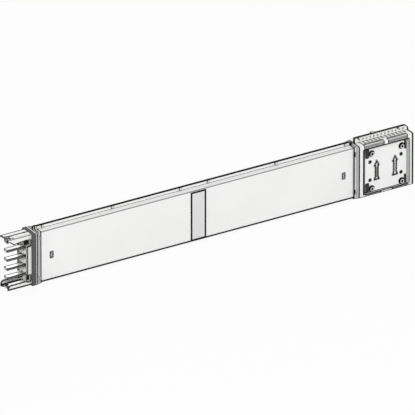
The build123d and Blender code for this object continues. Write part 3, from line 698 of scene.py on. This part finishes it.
def make_special_materials():
    # nodes whose finish differs in detail from the others of their slot
    special = {
        "joint_collar": joint_collar_finish("joint_collar_plastic"),
        "rib_cap": rib_cap_finish("rib_cap_plastic"),
        "fire_barrier_seal": rubber_finish("barrier_seal", BARRIER_RUBBER, "fire_barrier_seal"),
    }
    for number in range(1, COVER_BOLTS + 1):
        node = f"cover_bolt_{number}"
        special[node] = bolt_finish(f"bolt_steel_{number}", node)
    barrier = barrier_shade_finish("barrier_hole_shade")
    for number in range(1, POLE_BARRIERS + 1):
        special[f"pole_barrier_{number}"] = barrier
    return special


def dress_cad_nodes(materials, special):
    slots = {row["node"]: row["material_slot"] for row in frame["record"]["subparts"]}
    for name, obj in frame["nodes"].items():
        obj.data.materials.clear()
        obj.data.materials.append(special.get(name, materials[slots[name]]))


# The one added piece

def screw_rings():
    # (radii, height) of each ring, from the foot over the head's edge into the hexagonal socket
    angles = [2 * math.pi * n / SCREW_STEPS for n in range(SCREW_STEPS)]
    sixth = math.pi / 3
    socket = [SOCKET_RADIUS * math.cos(sixth / 2) / math.cos(angle % sixth - sixth / 2) for angle in angles]
    outline = [(SCREW_RADIUS - SCREW_TAPER, 0.0),
               (SCREW_RADIUS, SCREW_FOOT_ROUND),
               (SCREW_RADIUS, SCREW_HEIGHT - SCREW_TOP_ROUND),
               (SCREW_RADIUS - SCREW_TAPER, SCREW_HEIGHT - SCREW_TAPER),
               (SCREW_RADIUS - SCREW_TOP_ROUND, SCREW_HEIGHT)]
    rings = [([radius] * SCREW_STEPS, height) for radius, height in outline]
    rings += [(socket, SCREW_HEIGHT), (socket, SCREW_HEIGHT - SOCKET_DEPTH)]
    return angles, rings


def make_earth_screw():
    # cap screw of the earth bar: a stack of rings, closed by its foot and the socket's floor
    foot = box("earth_bar")[1].z
    angles, rings = screw_rings()
    mesh = bmesh.new()
    loops = []
    for radii, height in rings:
        loops.append([mesh.verts.new((radius * math.cos(angle), radius * math.sin(angle), height))
                      for radius, angle in zip(radii, angles)])
    for lower, upper in zip(loops, loops[1:]):
        for n in range(SCREW_STEPS):
            mesh.faces.new((lower[n - 1], lower[n], upper[n], upper[n - 1]))
    mesh.faces.new(reversed(loops[0]))
    mesh.faces.new(loops[-1])
    mesh.transform(Matrix.Translation((*SCREW_PLACE, foot)))
    data = bpy.data.meshes.new("earth_screw")
    mesh.to_mesh(data)
    mesh.free()
    data.materials.append(screw_finish("screw_steel"))
    screw = bpy.data.objects.new("earth_screw", data)
    bpy.context.scene.collection.objects.link(screw)
    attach(screw, "root")


# Camera, stage and light

def make_camera():
    back = Vector((-math.sin(VIEW_AZIMUTH) * math.cos(VIEW_ELEVATION),
                   -math.cos(VIEW_AZIMUTH) * math.cos(VIEW_ELEVATION),
                   math.sin(VIEW_ELEVATION)))
    distance = VIEW_WIDTH * LENS / SENSOR
    data = bpy.data.cameras.new("camera")
    data.lens = LENS
    data.sensor_width = SENSOR
    data.clip_start = distance / 10
    data.clip_end = distance * 4
    camera = bpy.data.objects.new("camera", data)
    camera.location = VIEW_AIM + back * distance
    camera.rotation_euler = (-back).to_track_quat("-Z", "Y").to_euler()
    bpy.context.scene.collection.objects.link(camera)
    bpy.context.scene.camera = camera


def make_floor():
    # matt and white, with most of what the camera sees of it glowing, so that it stays white
    bpy.ops.mesh.primitive_plane_add(size=FLOOR_SIZE, location=(0, 0, 0))
    floor = bpy.context.object
    floor.name = "floor"
    n = Finish("floor")
    n.shader.inputs["Roughness"].default_value = 0.9
    cloud = n.noise(scale=1.2, detail=2.0)
    color = n.blend(cloud, shaded(FLOOR_COLOR, FLOOR_CLOUD), FLOOR_COLOR)
    n.link(color, n.shader.inputs["Base Color"])
    glow = n.add("ShaderNodeEmission")
    glow.inputs["Strength"].default_value = 1.0
    mix = n.add("ShaderNodeMixShader")
    n.link(n.math("MULTIPLY", n.seen_directly(), BACKDROP_SHARE), mix.inputs[0])
    n.link(n.shader.outputs["BSDF"], mix.inputs[1])
    n.link(glow.outputs[0], mix.inputs[2])
    n.link(mix.outputs[0], n.output.inputs["Surface"])
    floor.data.materials.append(n.material)


def make_world():
    # WORLD_LIGHT as light, and full white where it is seen
    world = bpy.data.worlds.new("world")
    bpy.context.scene.world = world
    world.use_nodes = True
    n = Tree(world.node_tree)
    background = n.tree.nodes["Background"]
    background.inputs["Color"].default_value = (1, 1, 1, 1)
    strength = n.add("ShaderNodeMapRange")
    strength.inputs["To Min"].default_value = WORLD_LIGHT
    n.link(n.seen_directly(), strength.inputs["Value"])
    n.link(strength.outputs["Result"], background.inputs["Strength"])


def make_lights():
    for name, place, size, power in LIGHTS:
        data = bpy.data.lights.new(name, "AREA")
        data.shape = "RECTANGLE"
        data.size = size
        data.size_y = size
        data.energy = power
        lamp = bpy.data.objects.new(name, data)
        lamp.location = place
        lamp.rotation_euler = (LIGHT_AIM - Vector(place)).to_track_quat("-Z", "Y").to_euler()
        bpy.context.scene.collection.objects.link(lamp)


make_camera()
dress_cad_nodes(make_materials(), make_special_materials())
make_earth_screw()
make_floor()
make_world()
make_lights()

bpy.context.scene.view_settings.view_transform = "Standard"
